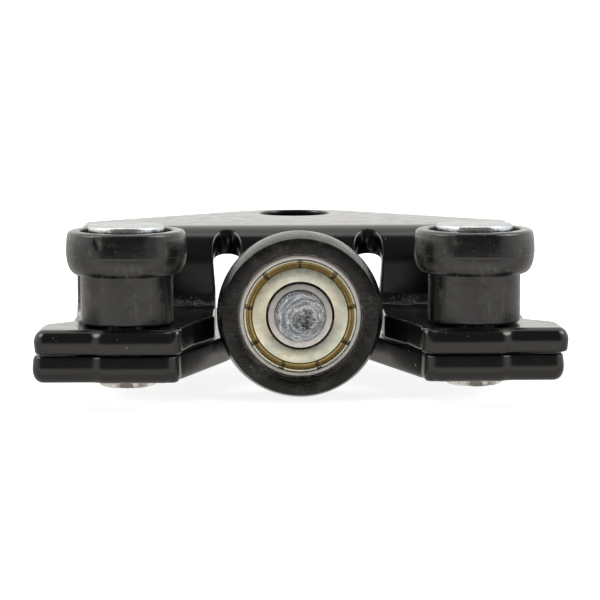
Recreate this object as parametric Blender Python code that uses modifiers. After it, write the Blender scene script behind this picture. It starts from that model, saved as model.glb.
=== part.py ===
"""Roller carriage of a van's sliding door.

A bent steel bracket and a flat plate beneath it carry two guide rollers on upright pins
and one load wheel, a moulded tyre on a shielded 608 ball bearing, on a level axle.

Frame: the origin is on the axis of the pivot hole, on the upper bracket's top face.
+X runs along the rail, +Y points back from the rail towards the door arm, +Z is up.
Lengths are in metres.
"""
import math

import bmesh
import bpy
from mathutils import Matrix

MM = 0.001

# Sheet metal. Both plates are stamped from the same stock.
SHEET = 4.2 * MM
PLATE_GAP = 0.3 * MM
FLANGE_DROP = 14.6 * MM
WALL_FORWARD = 33.1 * MM
TOP_BEND = 6.5 * MM
FLANGE_BEND = 2.5 * MM
HALF_WIDTH = 41.0 * MM
SHOULDER_FORWARD = 17.2 * MM
NOSE_APEX = 15.8 * MM
NOSE_RADIUS = 20.5 * MM
PIVOT_HOLE = 13.6 * MM

# The load wheel's tab and the slots on each side of it.
TAB_HALF = 10.55 * MM
SLOT_OUTER = 15.85 * MM
SLOT_END_ANGLE = math.radians(70.0)
FULL_ROUND = 0.999

# Guide rollers and their pins.
ROLLER_HALF_SPACING = 30.4 * MM
ROLLER_FORWARD = 57.0 * MM
ROLLER_RADIUS = 10.55 * MM
ROLLER_HUB_RADIUS = 8.08 * MM
ROLLER_BORE_RADIUS = 4.8 * MM
ROLLER_LIFT = 0.6 * MM
ROLLER_SHOULDER = 8.9 * MM
ROLLER_HEIGHT = 16.5 * MM
ROLLER_RECESS_RADIUS = 8.1 * MM
ROLLER_RECESS = 1.2 * MM
PIN_HEAD_RADIUS = 6.72 * MM
PIN_HEAD = 1.8 * MM
PIN_JOURNAL_RADIUS = 4.5 * MM
PIN_SHANK_RADIUS = 3.7 * MM
PIN_RIVET_RADIUS = 4.75 * MM
PIN_RIVET = 1.4 * MM

# Load wheel, with its centre on the bearing's middle plane.
WHEEL_FORWARD = 48.7 * MM
WHEEL_DROP = 14.0 * MM
WHEEL_RADIUS = 14.85 * MM
WHEEL_FACE_RADIUS = 13.75 * MM
WHEEL_HALF_WIDTH = 5.5 * MM

# 608 ball bearing.
BEARING_RADIUS = 11.0 * MM
BEARING_BORE_RADIUS = 4.0 * MM
BEARING_HALF_WIDTH = 3.5 * MM
BALL_COUNT = 7
BALL_RADIUS = 1.985 * MM
BALL_PITCH_RADIUS = 7.5 * MM
RACE_CLEARANCE = 0.1 * MM
OUTER_SHOULDER_RADIUS = 8.9 * MM
INNER_SHOULDER_RADIUS = 5.9 * MM
SHIELD_SEAT_RADIUS = 10.15 * MM
SHIELD_SEAT_DEPTH = 1.0 * MM
SHIELD_RADIUS = 10.0 * MM
SHIELD_BORE_RADIUS = 6.05 * MM
SHIELD_SHEET = 0.35 * MM
CAGE_INNER_RADIUS = 6.6 * MM
CAGE_OUTER_RADIUS = 8.3 * MM
CAGE_SHEET = 0.35 * MM

# Axle of the load wheel.
AXLE_RADIUS = 3.8 * MM
AXLE_COLLAR_RADIUS = 5.6 * MM
AXLE_TAB_RADIUS = 4.0 * MM
AXLE_FRONT_RIVET_RADIUS = 4.66 * MM
AXLE_FRONT_RIVET = 1.0 * MM
AXLE_REAR_RIVET_RADIUS = 5.5 * MM
AXLE_REAR_RIVET = 1.5 * MM

FIT_GAP = 0.3 * MM
CHAMFER = 0.3 * MM
WELD_DISTANCE = 0.001 * MM
SLIVER = 0.03 * MM
ARC_TOLERANCE = 0.04 * MM

# Steps of a full turn on the turned pieces.
WHEEL_STEPS = 36
ROLLER_STEPS = 32
PIN_STEPS = 24
TOP_BEND_STEPS = 6
FLANGE_BEND_STEPS = 5

# Heights and depths that follow from the dimensions above.
FLANGE_TOP = -FLANGE_DROP
FLANGE_BOTTOM = FLANGE_TOP - SHEET
LOWER_TOP = FLANGE_BOTTOM - PLATE_GAP
LOWER_BOTTOM = LOWER_TOP - SHEET
WALL_FRONT = -WALL_FORWARD
WALL_BACK = WALL_FRONT + SHEET
WALL_LENGTH = FLANGE_DROP - TOP_BEND - FLANGE_BEND
TOP_MIDDLE_RADIUS = TOP_BEND - SHEET / 2
TOP_ARC = TOP_MIDDLE_RADIUS * math.pi / 2
FLANGE_MIDDLE_RADIUS = FLANGE_BEND + SHEET / 2
FLANGE_ARC = FLANGE_MIDDLE_RADIUS * math.pi / 2
WHEEL_CENTRE = (0.0, -WHEEL_FORWARD, -WHEEL_DROP)

# Finishes: colour, roughness, metallic.
BLACK_PAINT = ((0.012, 0.012, 0.013), 0.28, 0.0)
BLACK_PLASTIC = ((0.022, 0.022, 0.023), 0.42, 0.0)
BRIGHT_ZINC = ((0.78, 0.79, 0.80), 0.25, 1.0)
GROUND_STEEL = ((0.56, 0.57, 0.58), 0.30, 1.0)
GOLD_ZINC = ((0.72, 0.66, 0.46), 0.32, 1.0)


def clear_scene():
    for item in list(bpy.data.objects):
        bpy.data.objects.remove(item, do_unlink=True)


def new_collection(name):
    collection = bpy.data.collections.new(name)
    bpy.context.scene.collection.children.link(collection)
    return collection


def paint(item, finish):
    colour, roughness, metallic = finish
    material = bpy.data.materials.new(item.name)
    material.use_nodes = True
    shader = material.node_tree.nodes["Principled BSDF"]
    shader.inputs["Base Color"].default_value = (*colour, 1.0)
    shader.inputs["Roughness"].default_value = roughness
    shader.inputs["Metallic"].default_value = metallic
    item.data.materials.append(material)


def smooth(item):
    item.data.shade_smooth()
    item.data.set_sharp_from_angle(angle=math.radians(35.0))


def rounded(corners):
    """Points of a closed outline whose corners are (x, y, radius)."""
    points = []
    for index, (x, y, radius) in enumerate(corners):
        if radius == 0.0:
            points.append((x, y))
            continue
        before = corners[index - 1]
        after = corners[(index + 1) % len(corners)]
        to_before = math.atan2(before[1] - y, before[0] - x)
        to_after = math.atan2(after[1] - y, after[0] - x)
        turn = math.remainder(to_after - to_before, math.tau)
        middle = to_before + turn / 2
        reach = radius / math.sin(abs(turn) / 2)
        centre_x = x + reach * math.cos(middle)
        centre_y = y + reach * math.sin(middle)
        sweep = math.copysign(math.pi - abs(turn), turn)
        first = middle + math.pi + sweep / 2
        chord_angle = 2 * math.acos(1 - ARC_TOLERANCE / radius)
        steps = math.ceil(abs(sweep) / chord_angle)
        for step in range(steps + 1):
            angle = first - sweep * step / steps
            points.append((centre_x + radius * math.cos(angle), centre_y + radius * math.sin(angle)))
    return points


def mirrored(half):
    """A closed outline from its +X half, whose first corner may lie on the mid-plane."""
    other = [(-x, y, radius) for x, y, radius in reversed(half) if x != 0.0]
    return half + other


def as_mesh(curve_object, collection):
    """The curve object as a closed mesh object with the same name and place."""
    bpy.context.view_layer.update()
    graph = bpy.context.evaluated_depsgraph_get()
    mesh = bpy.data.meshes.new_from_object(curve_object.evaluated_get(graph))
    shape = bmesh.new()
    shape.from_mesh(mesh)
    bmesh.ops.remove_doubles(shape, verts=shape.verts, dist=WELD_DISTANCE)
    bmesh.ops.recalc_face_normals(shape, faces=shape.faces)
    shape.to_mesh(mesh)
    shape.free()
    name = curve_object.name
    place = curve_object.matrix_world.copy()
    bpy.data.objects.remove(curve_object, do_unlink=True)
    item = bpy.data.objects.new(name, mesh)
    item.matrix_world = place
    collection.objects.link(item)
    return item


def extruded(name, points, thickness, collection, place=Matrix()):
    """A flat outline as a solid, centred on the outline's plane."""
    curve = bpy.data.curves.new(name, "CURVE")
    curve.dimensions = "2D"
    curve.fill_mode = "BOTH"
    curve.extrude = thickness / 2
    spline = curve.splines.new("POLY")
    spline.points.add(len(points) - 1)
    for point, (x, y) in zip(spline.points, points):
        point.co = (x, y, 0.0, 1.0)
    spline.use_cyclic_u = True
    item = bpy.data.objects.new(name, curve)
    item.matrix_world = place
    collection.objects.link(item)
    return as_mesh(item, collection)


def turned(name, profile, steps, collection, closed=True):
    """A profile of (radius, height) points, turned about the object's own Z axis."""
    mesh = bpy.data.meshes.new(name)
    count = len(profile)
    edges = [(index, index + 1) for index in range(count - 1)]
    if closed:
        edges.append((count - 1, 0))
    mesh.from_pydata([(radius, 0.0, height) for radius, height in profile], edges, [])
    item = bpy.data.objects.new(name, mesh)
    collection.objects.link(item)
    screw = item.modifiers.new("Turn", "SCREW")
    screw.steps = steps
    screw.render_steps = steps
    screw.use_merge_vertices = True
    screw.merge_threshold = WELD_DISTANCE
    screw.use_normal_calculate = False
    return item


def as_cutter(item):
    item.hide_render = True
    item.display_type = "WIRE"
    return item


def boolean(item, other, operation="DIFFERENCE"):
    change = item.modifiers.new(other.name, "BOOLEAN")
    change.operation = operation
    change.object = other
    change.solver = "EXACT"


def cylinder_cutter(name, radius, depth, location, rotation, collection):
    bpy.ops.mesh.primitive_cylinder_add(vertices=PIN_STEPS, radius=radius, depth=depth)
    item = bpy.context.object
    item.name = name
    item.location = location
    item.rotation_euler = rotation
    return move_to(item, collection)


def move_to(item, collection):
    for owner in list(item.users_collection):
        owner.objects.unlink(item)
    collection.objects.link(item)
    return as_cutter(item)


def back_corners():
    """The +X half of the plates behind the wall: nose, then shoulder."""
    return [
        (0.0, NOSE_APEX, NOSE_RADIUS),
        (HALF_WIDTH, -SHOULDER_FORWARD, 3.0 * MM),
    ]


def ear_corners(end, front):
    """The +X outer side of the lobe round a roller pin, back to front."""
    return [
        (HALF_WIDTH, -43.0 * MM, 4.0 * MM),
        (39.2 * MM, -49.8 * MM, 3.0 * MM),
        (end - 0.5 * MM, -55.8 * MM, 3.5 * MM),
        (end, front, 2.5 * MM),
        (36.3 * MM, front, 0.0),
        (34.6 * MM, front - 1.1 * MM, 0.0),
    ]


def lower_plan():
    """Plan of the lower plate, with the notch that clears the wheel and its tab."""
    inner = [
        (21.0 * MM, -67.4 * MM, 1.5 * MM),
        (21.0 * MM, -62.0 * MM, 4.0 * MM),
        (15.9 * MM, -48.0 * MM, 8.0 * MM),
        (13.0 * MM, -40.0 * MM, 4.0 * MM),
        (11.3 * MM, -34.0 * MM, 3.0 * MM),
        (11.3 * MM, -23.5 * MM, 9.0 * MM),
    ]
    return mirrored(back_corners() + ear_corners(45.5 * MM, -66.3 * MM) + inner)


def unfolded_top(y):
    """Distance along the bracket's sheet, forward from the start of the top bend."""
    return WALL_FRONT + TOP_BEND - y


def unfolded_flange(y):
    return TOP_ARC + WALL_LENGTH + FLANGE_ARC + WALL_FRONT - FLANGE_BEND - y


def bracket_blank():
    """The bracket's flat blank as (x, distance along the sheet) corners."""
    back = [(x, unfolded_top(y), radius) for x, y, radius in back_corners()]
    inner = [
        (20.7 * MM, -67.6 * MM, 1.5 * MM),
        (20.7 * MM, -63.0 * MM, 3.0 * MM),
        (18.8 * MM, -55.5 * MM, 6.0 * MM),
        (15.4 * MM, -46.8 * MM, 3.0 * MM),
        (SLOT_OUTER, -38.0 * MM, 3.0 * MM),
    ]
    flange = ear_corners(45.7 * MM, -66.5 * MM) + inner
    front = [(x, unfolded_flange(y), radius) for x, y, radius in flange]
    slot_end = TOP_MIDDLE_RADIUS * (math.pi / 2 - SLOT_END_ANGLE)
    slot_round = (SLOT_OUTER - TAB_HALF) / 2 * FULL_ROUND
    tab_end = TOP_ARC - TOP_BEND + WHEEL_DROP + TAB_HALF
    tab = [
        (SLOT_OUTER, slot_end, slot_round),
        (TAB_HALF, slot_end, slot_round),
        (TAB_HALF, tab_end, TAB_HALF * FULL_ROUND),
    ]
    return mirrored(back + front + tab)


def bent(x, along):
    """Place of a point of the blank's middle surface on the bent bracket."""
    if along < 0.0:
        return (x, WALL_FRONT + TOP_BEND - along, -SHEET / 2)
    if along < TOP_ARC:
        angle = along / TOP_MIDDLE_RADIUS
        y = WALL_FRONT + TOP_BEND - TOP_MIDDLE_RADIUS * math.sin(angle)
        return (x, y, -TOP_BEND + TOP_MIDDLE_RADIUS * math.cos(angle))
    down = along - TOP_ARC
    if down < WALL_LENGTH or abs(x) < (TAB_HALF + SLOT_OUTER) / 2:
        return (x, WALL_FRONT + SHEET / 2, -TOP_BEND - down)
    round_bend = down - WALL_LENGTH
    centre_y = WALL_FRONT - FLANGE_BEND
    centre_z = FLANGE_TOP + FLANGE_BEND
    if round_bend < FLANGE_ARC:
        angle = round_bend / FLANGE_MIDDLE_RADIUS
        y = centre_y + FLANGE_MIDDLE_RADIUS * math.cos(angle)
        return (x, y, centre_z - FLANGE_MIDDLE_RADIUS * math.sin(angle))
    return (x, centre_y - (round_bend - FLANGE_ARC), FLANGE_TOP - SHEET / 2)


def bend_lines():
    """Distances along the sheet where the blank is divided so that it can bend."""
    lines = [TOP_ARC * step / TOP_BEND_STEPS for step in range(TOP_BEND_STEPS + 1)]
    second = TOP_ARC + WALL_LENGTH
    lines += [second + FLANGE_ARC * step / FLANGE_BEND_STEPS for step in range(FLANGE_BEND_STEPS + 1)]
    return lines


def upright_hole(name, radius, x, y, cutters):
    return cylinder_cutter(name, radius, 60.0 * MM, (x, y, -10.0 * MM), (0, 0, 0), cutters)


def plate_holes(cutters):
    """Cutters for the pivot hole and the two pin holes, shared by both plates."""
    holes = [upright_hole("pivot_hole", PIVOT_HOLE / 2, 0.0, 0.0, cutters)]
    for side in (-1, 1):
        place = side * ROLLER_HALF_SPACING
        radius = PIN_SHANK_RADIUS + FIT_GAP
        holes.append(upright_hole(f"pin_hole_{side}", radius, place, -ROLLER_FORWARD, cutters))
    return holes


def upper_bracket(parts, cutters, holes):
    """The blank is filled, divided at the bend lines, bent and given its thickness."""
    mesh = bpy.data.meshes.new("upper_bracket")
    shape = bmesh.new()
    outline = [shape.verts.new((x, along, 0.0)) for x, along in rounded(bracket_blank())]
    shape.faces.new(outline)
    bmesh.ops.remove_doubles(shape, verts=shape.verts, dist=SLIVER)
    bmesh.ops.triangulate(shape, faces=shape.faces)
    for along in bend_lines():
        everything = shape.verts[:] + shape.edges[:] + shape.faces[:]
        bmesh.ops.bisect_plane(
            shape, geom=everything, dist=WELD_DISTANCE, plane_co=(0.0, along, 0.0), plane_no=(0.0, 1.0, 0.0)
        )
    bmesh.ops.dissolve_degenerate(shape, dist=SLIVER / 2, edges=shape.edges)
    for vertex in shape.verts:
        vertex.co = bent(vertex.co.x, vertex.co.y)
    shape.to_mesh(mesh)
    shape.free()
    item = bpy.data.objects.new("upper_bracket", mesh)
    parts.objects.link(item)
    thicken = item.modifiers.new("Sheet", "SOLIDIFY")
    thicken.thickness = SHEET
    thicken.offset = 0.0
    place = (0.0, WALL_FRONT, -WHEEL_DROP)
    radius = AXLE_TAB_RADIUS + FIT_GAP
    boolean(item, cylinder_cutter("axle_hole", radius, 20 * MM, place, (math.pi / 2, 0, 0), cutters))
    for hole in holes:
        boolean(item, hole)
    paint(item, BLACK_PAINT)
    return item


def lower_plate(parts, holes):
    middle = Matrix.Translation((0.0, 0.0, (LOWER_TOP + LOWER_BOTTOM) / 2))
    item = extruded("lower_plate", rounded(lower_plan()), SHEET, parts, middle)
    for hole in holes:
        boolean(item, hole)
    paint(item, BLACK_PAINT)
    return item


def guide_roller_profile():
    """Outer side from the top rim down, then up the bore; heights above the flange."""
    base = ROLLER_LIFT
    top = ROLLER_HEIGHT
    part_line = 12.45 * MM
    return [
        (ROLLER_RECESS_RADIUS, top),
        (ROLLER_RADIUS - 0.75 * MM, top),
        (ROLLER_RADIUS - 0.35 * MM, top - 0.4 * MM),
        (ROLLER_RADIUS, part_line),
        (ROLLER_RADIUS - 0.2 * MM, ROLLER_SHOULDER + 1.5 * MM),
        (ROLLER_RADIUS - 0.8 * MM, ROLLER_SHOULDER + 0.5 * MM),
        (ROLLER_RADIUS - 1.7 * MM, ROLLER_SHOULDER),
        (ROLLER_HUB_RADIUS, ROLLER_SHOULDER),
        (ROLLER_HUB_RADIUS, base + CHAMFER),
        (ROLLER_HUB_RADIUS - CHAMFER, base),
        (ROLLER_BORE_RADIUS, base),
        (ROLLER_BORE_RADIUS, top - ROLLER_RECESS),
        (ROLLER_RECESS_RADIUS, top - ROLLER_RECESS),
    ]


def roller_pin_profile():
    """Head, journal, shank through both plates and peened end; heights above the flange."""
    head_base = ROLLER_HEIGHT - ROLLER_RECESS + FIT_GAP
    head_top = head_base + PIN_HEAD
    rivet_top = LOWER_BOTTOM - FLANGE_TOP - FIT_GAP
    return [
        (0.0, head_top),
        (PIN_HEAD_RADIUS - 0.4 * MM, head_top),
        (PIN_HEAD_RADIUS, head_top - 0.5 * MM),
        (PIN_HEAD_RADIUS, head_base),
        (PIN_JOURNAL_RADIUS, head_base),
        (PIN_JOURNAL_RADIUS, FIT_GAP),
        (PIN_SHANK_RADIUS, FIT_GAP),
        (PIN_SHANK_RADIUS, rivet_top),
        (PIN_RIVET_RADIUS, rivet_top),
        (PIN_RIVET_RADIUS - 0.2 * MM, rivet_top - PIN_RIVET * 0.6),
        (PIN_RIVET_RADIUS - 1.5 * MM, rivet_top - PIN_RIVET),
        (0.0, rivet_top - PIN_RIVET),
    ]


def guide_rollers(parts):
    for name, side in (("left", -1), ("right", 1)):
        place = (side * ROLLER_HALF_SPACING, -ROLLER_FORWARD, FLANGE_TOP)
        roller = turned(f"{name}_guide_roller", guide_roller_profile(), ROLLER_STEPS, parts)
        roller.location = place
        paint(roller, BLACK_PLASTIC)
        pin = turned(f"{name}_roller_pin", roller_pin_profile(), PIN_STEPS, parts, closed=False)
        pin.location = place
        paint(pin, BRIGHT_ZINC)


def arc(centre_radius, radius, first, last, steps):
    """Points of a race groove in the (radius, height) plane."""
    points = []
    for step in range(steps + 1):
        angle = first + (last - first) * step / steps
        points.append((centre_radius + radius * math.cos(angle), radius * math.sin(angle)))
    return points


def tyre_profile():
    """Crowned tread from the front rim to the back rim, then forward through the bore."""
    crown = WHEEL_RADIUS - WHEEL_FACE_RADIUS
    points = []
    tread_steps = 6
    for step in range(tread_steps + 1):
        across = 1 - 2 * step / tread_steps
        points.append((WHEEL_RADIUS - crown * across * across, WHEEL_HALF_WIDTH * across))
    bore = BEARING_RADIUS + 0.2 * MM
    points.append((bore, -WHEEL_HALF_WIDTH))
    points.append((bore, WHEEL_HALF_WIDTH))
    return points


def outer_ring_profile():
    groove = BALL_RADIUS + RACE_CLEARANCE
    opening = math.acos((OUTER_SHOULDER_RADIUS - BALL_PITCH_RADIUS) / groove)
    seat = BEARING_HALF_WIDTH - SHIELD_SEAT_DEPTH
    half = BEARING_HALF_WIDTH
    return [
        (SHIELD_SEAT_RADIUS, half),
        (BEARING_RADIUS - CHAMFER, half),
        (BEARING_RADIUS, half - CHAMFER),
        (BEARING_RADIUS, CHAMFER - half),
        (BEARING_RADIUS - CHAMFER, -half),
        (SHIELD_SEAT_RADIUS, -half),
        (SHIELD_SEAT_RADIUS, -seat),
        (OUTER_SHOULDER_RADIUS, -seat),
        *arc(BALL_PITCH_RADIUS, groove, -opening, opening, 6),
        (OUTER_SHOULDER_RADIUS, seat),
        (SHIELD_SEAT_RADIUS, seat),
    ]


def inner_ring_profile():
    groove = BALL_RADIUS + RACE_CLEARANCE
    opening = math.acos((BALL_PITCH_RADIUS - INNER_SHOULDER_RADIUS) / groove)
    half = BEARING_HALF_WIDTH
    chamfer = 0.2 * MM
    return [
        (BEARING_BORE_RADIUS, half),
        (INNER_SHOULDER_RADIUS - chamfer, half),
        (INNER_SHOULDER_RADIUS, half - chamfer),
        *arc(BALL_PITCH_RADIUS, groove, math.pi - opening, math.pi + opening, 6),
        (INNER_SHOULDER_RADIUS, chamfer - half),
        (INNER_SHOULDER_RADIUS - chamfer, -half),
        (BEARING_BORE_RADIUS, -half),
    ]


def shield_profile():
    """Flat annulus, a shallow groove round it and the crimped lip; front side first."""
    face = BEARING_HALF_WIDTH - 0.2 * MM
    dip = 0.3 * MM
    return [
        (SHIELD_BORE_RADIUS, face),
        (8.4 * MM, face),
        (8.8 * MM, face - dip),
        (9.5 * MM, face - dip),
        (9.6 * MM, face),
        (SHIELD_RADIUS, face),
        (SHIELD_RADIUS, face - dip - SHIELD_SHEET),
        (8.6 * MM, face - dip - SHIELD_SHEET),
        (8.3 * MM, face - SHIELD_SHEET),
        (SHIELD_BORE_RADIUS, face - SHIELD_SHEET),
    ]


def axle_profile():
    """Front peened end, bearing seat, collar, tab seat and rear peened end."""
    half = BEARING_HALF_WIDTH + FIT_GAP
    front = half + AXLE_FRONT_RIVET
    collar_back = WALL_FRONT + WHEEL_FORWARD - FIT_GAP
    tab_back = WALL_BACK + WHEEL_FORWARD + FIT_GAP
    return [
        (0.0, front - 0.5 * MM),
        (2.2 * MM, front - 0.2 * MM),
        (AXLE_FRONT_RIVET_RADIUS - 0.9 * MM, front),
        (AXLE_FRONT_RIVET_RADIUS, front - 0.5 * MM),
        (AXLE_FRONT_RIVET_RADIUS, half),
        (AXLE_RADIUS, half),
        (AXLE_RADIUS, -half),
        (AXLE_COLLAR_RADIUS, -half),
        (AXLE_COLLAR_RADIUS, -collar_back),
        (AXLE_TAB_RADIUS, -collar_back),
        (AXLE_TAB_RADIUS, -tab_back),
        (AXLE_REAR_RIVET_RADIUS, -tab_back),
        (AXLE_REAR_RIVET_RADIUS - 0.5 * MM, -tab_back - AXLE_REAR_RIVET),
        (0.0, -tab_back - AXLE_REAR_RIVET),
    ]


def cage_half(name, side, parts):
    """A ribbon ring that arches over each ball and lies flat between the balls."""
    ring = [
        (CAGE_INNER_RADIUS, CAGE_SHEET),
        (CAGE_OUTER_RADIUS, CAGE_SHEET),
        (CAGE_OUTER_RADIUS, 0.0),
        (CAGE_INNER_RADIUS, 0.0),
    ]
    flat = 0.15 * MM
    arch = 2.05 * MM
    arch_half_length = 2.75 * MM
    steps = BALL_COUNT * 10
    mesh = bpy.data.meshes.new(name)
    shape = bmesh.new()
    rows = []
    for step in range(steps):
        angle = math.tau * step / steps
        to_ball = math.remainder(angle, math.tau / BALL_COUNT)
        along = BALL_PITCH_RADIUS * to_ball / arch_half_length
        rise = flat + arch * math.sqrt(max(0.0, 1 - along * along))
        row = []
        for radius, height in ring:
            x = radius * math.cos(angle)
            y = radius * math.sin(angle)
            row.append(shape.verts.new((x, y, side * (rise + height))))
        rows.append(row)
    for step in range(steps):
        here = rows[step]
        there = rows[(step + 1) % steps]
        for index in range(4):
            after = (index + 1) % 4
            shape.faces.new((here[index], here[after], there[after], there[index]))
    bmesh.ops.recalc_face_normals(shape, faces=shape.faces)
    shape.to_mesh(mesh)
    shape.free()
    item = bpy.data.objects.new(name, mesh)
    parts.objects.link(item)
    paint(item, GROUND_STEEL)
    return item


def on_wheel_axis(item):
    """Put a piece's own Z axis on the wheel's axis, pointing forward."""
    item.location = WHEEL_CENTRE
    item.rotation_euler = (math.pi / 2, 0.0, 0.0)


def load_wheel(parts):
    pieces = (
        ("load_wheel_tyre", tyre_profile(), True, BLACK_PLASTIC),
        ("bearing_outer_ring", outer_ring_profile(), True, GROUND_STEEL),
        ("bearing_inner_ring", inner_ring_profile(), True, GROUND_STEEL),
        ("bearing_front_shield", shield_profile(), True, GOLD_ZINC),
        ("load_wheel_axle", axle_profile(), False, BRIGHT_ZINC),
    )
    for name, profile, closed, finish in pieces:
        item = turned(name, profile, WHEEL_STEPS, parts, closed)
        on_wheel_axis(item)
        paint(item, finish)
    rear = turned("bearing_rear_shield", shield_profile(), WHEEL_STEPS, parts)
    rear.location = WHEEL_CENTRE
    rear.rotation_euler = (-math.pi / 2, 0.0, 0.0)
    paint(rear, GOLD_ZINC)


def ball_set(parts):
    """The cage halves and the balls hang on one empty on the wheel's axis."""
    axis = bpy.data.objects.new("ball_set_axis", None)
    parts.objects.link(axis)
    on_wheel_axis(axis)
    cage_half("bearing_cage_front", 1, parts).parent = axis
    cage_half("bearing_cage_rear", -1, parts).parent = axis
    bpy.ops.mesh.primitive_uv_sphere_add(segments=12, ring_count=7, radius=BALL_RADIUS)
    first = bpy.context.object
    mesh = first.data
    bpy.data.objects.remove(first, do_unlink=True)
    for index in range(BALL_COUNT):
        angle = math.tau * index / BALL_COUNT
        ball = bpy.data.objects.new(f"bearing_ball_{index + 1}", mesh)
        parts.objects.link(ball)
        ball.parent = axis
        ball.location = (
            BALL_PITCH_RADIUS * math.cos(angle),
            BALL_PITCH_RADIUS * math.sin(angle),
            0.0,
        )
        if index == 0:
            paint(ball, GROUND_STEEL)


def build():
    clear_scene()
    parts = new_collection("sliding_door_roller_carriage")
    cutters = new_collection("cutters")
    holes = plate_holes(cutters)
    upper_bracket(parts, cutters, holes)
    lower_plate(parts, holes)
    guide_rollers(parts)
    load_wheel(parts)
    ball_set(parts)
    for item in parts.objects:
        if item.type == "MESH":
            smooth(item)


build()
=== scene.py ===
"""Looks of a sliding door's roller carriage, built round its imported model.

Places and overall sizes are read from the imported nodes. What a node is too coarse to hold, such
as rounded sheet edges, crimps and peened metal, is made here. Lengths are in metres, in the same
frame as the model: +X along the rail, +Y back towards the door arm, +Z up.
"""
import math

import bmesh
import bpy
from mathutils import Matrix, Vector, noise


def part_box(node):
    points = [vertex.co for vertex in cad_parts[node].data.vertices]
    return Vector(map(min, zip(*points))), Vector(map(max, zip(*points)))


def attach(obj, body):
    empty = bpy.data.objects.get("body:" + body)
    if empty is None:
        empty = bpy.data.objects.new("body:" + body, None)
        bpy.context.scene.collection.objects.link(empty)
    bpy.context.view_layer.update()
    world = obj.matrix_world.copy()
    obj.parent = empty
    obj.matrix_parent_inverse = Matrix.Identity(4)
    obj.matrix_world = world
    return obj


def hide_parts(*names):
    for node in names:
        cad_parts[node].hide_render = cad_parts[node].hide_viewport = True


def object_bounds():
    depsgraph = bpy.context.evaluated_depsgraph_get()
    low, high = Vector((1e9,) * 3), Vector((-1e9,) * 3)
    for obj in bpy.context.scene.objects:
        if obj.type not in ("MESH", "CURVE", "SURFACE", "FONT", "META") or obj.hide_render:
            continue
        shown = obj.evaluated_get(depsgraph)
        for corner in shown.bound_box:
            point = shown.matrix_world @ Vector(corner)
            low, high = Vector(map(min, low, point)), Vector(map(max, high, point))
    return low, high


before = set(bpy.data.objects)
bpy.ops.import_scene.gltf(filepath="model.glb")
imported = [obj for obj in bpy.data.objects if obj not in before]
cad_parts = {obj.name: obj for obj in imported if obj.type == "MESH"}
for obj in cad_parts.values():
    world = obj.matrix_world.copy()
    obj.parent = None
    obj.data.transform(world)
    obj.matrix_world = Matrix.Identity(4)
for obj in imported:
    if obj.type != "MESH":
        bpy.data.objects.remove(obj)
CAD_LOW, CAD_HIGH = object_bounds()

MM = 0.001

# ---------------------------------------------------------------- sizes read from the frame


def middle(node):
    low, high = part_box(node)
    return (low + high) / 2


def size(node):
    low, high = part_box(node)
    return high - low


SHEET = size("lower_plate").z
BRACKET_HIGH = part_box("upper_bracket")[1]
LOWER_LOW, LOWER_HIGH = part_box("lower_plate")
WHEEL = middle("bearing_outer_ring")
WHEEL_HALF_WIDTH = size("load_wheel_tyre").y / 2
WHEEL_RADIUS = size("load_wheel_tyre").z / 2
BEARING_RADIUS = size("bearing_outer_ring").z / 2
BEARING_HALF_WIDTH = size("bearing_outer_ring").y / 2
ROLLER_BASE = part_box("left_guide_roller")[0].z
ROLLER_HEIGHT = size("left_guide_roller").z
ROLLER_RADIUS = size("left_guide_roller").y / 2
ROLLER_SPACING = middle("right_guide_roller").x
ROLLER_Y = middle("right_guide_roller").y
PIN_RADIUS = size("left_roller_pin").y / 2
PIN_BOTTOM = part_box("left_roller_pin")[0].z
PIN_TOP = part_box("left_roller_pin")[1].z

# ---------------------------------------------------------------- sizes of the sheet's folds

PLATE_GAP = 0.3 * MM
FLANGE_TOP = LOWER_HIGH.z + PLATE_GAP + SHEET
WALL_FRONT = -33.1 * MM
TOP_BEND = 6.5 * MM
FLANGE_BEND = 2.5 * MM
HALF_WIDTH = 41.0 * MM
SHOULDER_Y = -17.2 * MM
NOSE_APEX = 15.8 * MM
NOSE_RADIUS = 20.5 * MM
PIVOT_RADIUS = 6.8 * MM
PIN_HOLE_RADIUS = 4.0 * MM
TAB_HALF = 10.55 * MM
SLOT_OUTER = 15.85 * MM
SLOT_WIDTH = SLOT_OUTER - TAB_HALF
SLOT_TOP_ANGLE = math.radians(61.0)
SLOT_SPREAD = 2.6 * MM
LEG_INNER = 15.25 * MM
NOTCH_HALF = 20.3 * MM
TOP_MIDDLE_RADIUS = TOP_BEND - SHEET / 2
TOP_ARC = TOP_MIDDLE_RADIUS * math.pi / 2
FLANGE_MIDDLE_RADIUS = FLANGE_BEND + SHEET / 2
FLANGE_ARC = FLANGE_MIDDLE_RADIUS * math.pi / 2
WALL_LENGTH = -FLANGE_TOP - TOP_BEND - FLANGE_BEND

# Edges of the stamped sheets as (rounding of the face, rounding of the back, lean, spread). The
# punch draws one side in and leaves the other crisp. Lean sets the back in, or the face if
# negative. Spread moves the face along the sheet, away from the back. The stretch is how much
# deeper into the sheet than along it a rounding goes, and the lower sheet is drawn thicker.
BRACKET_EDGE = (1.9 * MM, 0.35 * MM, 0.42 * MM, 0.0)
LOWER_EDGE = (0.4 * MM, 1.9 * MM, -0.5 * MM, 0.0)
HOLE_EDGE = (0.4 * MM, 0.35 * MM, 0.0, 0.0)
EDGE_STRETCH = 1.3
LOWER_THICKENING = 1.13
RIM_SPACING = 0.7 * MM
CLOSEST = 0.02 * MM
FULL_ROUND = 0.999
FOLD_STEPS = 22

# The bearing's ball grooves, the crimps on its shields and the crater in the peened axle.
GROOVE_RADIUS = 2.085 * MM
PITCH_RADIUS = 7.5 * MM
CRIMPS = 9
CRATER = Vector((0.85 * MM, -0.75 * MM))


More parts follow.
